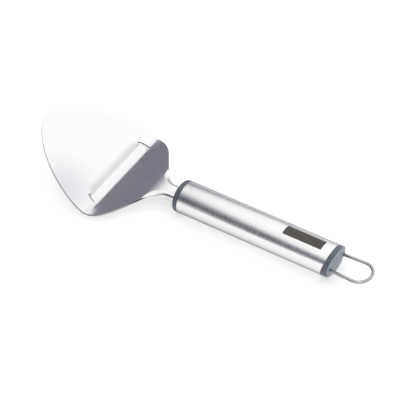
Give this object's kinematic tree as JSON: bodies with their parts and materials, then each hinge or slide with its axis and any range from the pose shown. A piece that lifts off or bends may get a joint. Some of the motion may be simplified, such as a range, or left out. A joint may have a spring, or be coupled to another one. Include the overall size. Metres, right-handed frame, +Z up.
{
  "type": "cheese slicer",
  "caption": "Cheese slicer: a bent steel blade with a slot and a cutting lip, a folded neck, a round steel handle and a wire hanging loop.",
  "frame": {"origin": "under the middle of the slicer, on the surface that the handle lies on", "axes": "+X along the handle from the blade's tip to the hanging loop, +Y across the blade, +Z up, the side that the cheese slice comes out of"},
  "size_m": [0.2508, 0.0784, 0.0345],
  "materials": {
    "blade_steel": "satin rolled stainless steel with a ground cutting lip",
    "tube_steel": "stainless steel brushed round the tube",
    "wire_steel": "bright drawn stainless wire",
    "slate_plastic": "fine satin moulded plastic, dark slate blue"
  },
  "bodies": {
    "root": {"slicer_blade": "blade_steel", "front_collar": "slate_plastic", "tang_pin": "wire_steel", "handle_tube": "tube_steel", "rear_cap": "slate_plastic", "hanging_loop": "wire_steel"}
  },
  "joints": []
}
